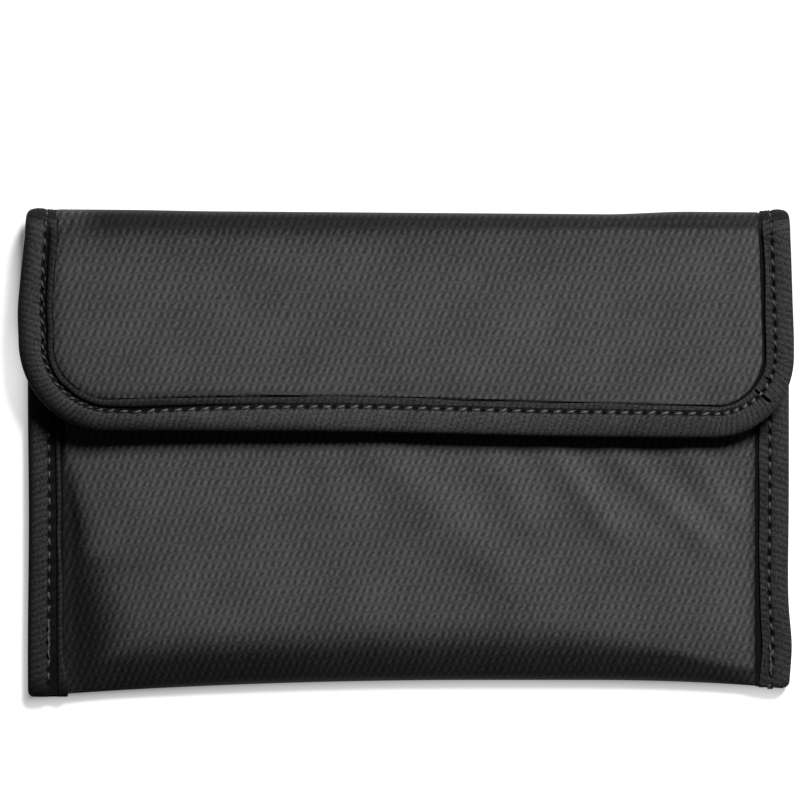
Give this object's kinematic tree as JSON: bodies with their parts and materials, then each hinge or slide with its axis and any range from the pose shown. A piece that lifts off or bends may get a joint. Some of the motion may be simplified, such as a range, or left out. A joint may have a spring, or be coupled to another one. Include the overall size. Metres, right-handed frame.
{
  "type": "neck pouch wallet",
  "caption": "flat travel pouch of dark woven cloth with bound edges, a wide fold-over flap, a card and document compartment, a zipped inner pocket and hidden eyes for a neck cord",
  "frame": {"origin": "middle of the outline at the level of the table that the back lies on", "axes": "+X along the width to the right seen from the front, +Y towards the top fold, +Z out of the front"},
  "size_m": [0.23, 0.143, 0.016],
  "materials": {
    "outer_cloth": "matt dobby weave",
    "binding_tape": "ribbed woven tape",
    "lining_cloth": "plain fine weave",
    "shield_foil": "metallised film",
    "hook_and_loop": "napped",
    "thread": "twisted thread",
    "coil_plastic": "moulded",
    "zip_metal": "dark painted"
  },
  "bodies": {
    "pouch": {"back_panel": "outer_cloth", "back_shield": "shield_foil", "back_lining": "lining_cloth", "front_panel": "outer_cloth", "front_shield": "shield_foil", "front_lining": "lining_cloth", "side_binding_left": "binding_tape", "side_binding_right": "binding_tape", "pocket_panel": "lining_cloth", "zip_facing": "lining_cloth", "card_strip_upper": "lining_cloth", "card_strip_lower": "lining_cloth", "zip_tape_upper": "binding_tape", "zip_tape_lower": "binding_tape", "zip_coil_upper": "coil_plastic", "zip_coil_lower": "coil_plastic", "zip_stops": "zip_metal", "cord_loop_left": "binding_tape", "cord_loop_right": "binding_tape", "loop_strip": "hook_and_loop", "top_fold_cloth": "outer_cloth", "top_fold_shield": "shield_foil", "top_fold_lining": "lining_cloth", "fold_binding_left": "binding_tape", "fold_binding_right": "binding_tape", "side_stitching": "thread"},
    "flap": {"flap_panel": "outer_cloth", "flap_shield": "shield_foil", "flap_lining": "lining_cloth", "flap_binding": "binding_tape", "hook_strip": "hook_and_loop", "flap_stitching": "thread"},
    "slider": {"zip_slider": "zip_metal", "zip_puller": "binding_tape"}
  },
  "joints": [
    {"name": "flap_hinge", "type": "hinge", "parent": "pouch", "child": "flap", "pos_m": [0, 0.06383, 0.00768], "axis": [-1, 0, 0], "range_deg": [0, 178], "deforming": ["top_fold_cloth", "top_fold_shield", "top_fold_lining", "fold_binding_left", "fold_binding_right"]},
    {"name": "zip_slide", "type": "slide", "parent": "pouch", "child": "slider", "axis": [-1, 0, 0], "range_m": [0, 0.147]}
  ]
}
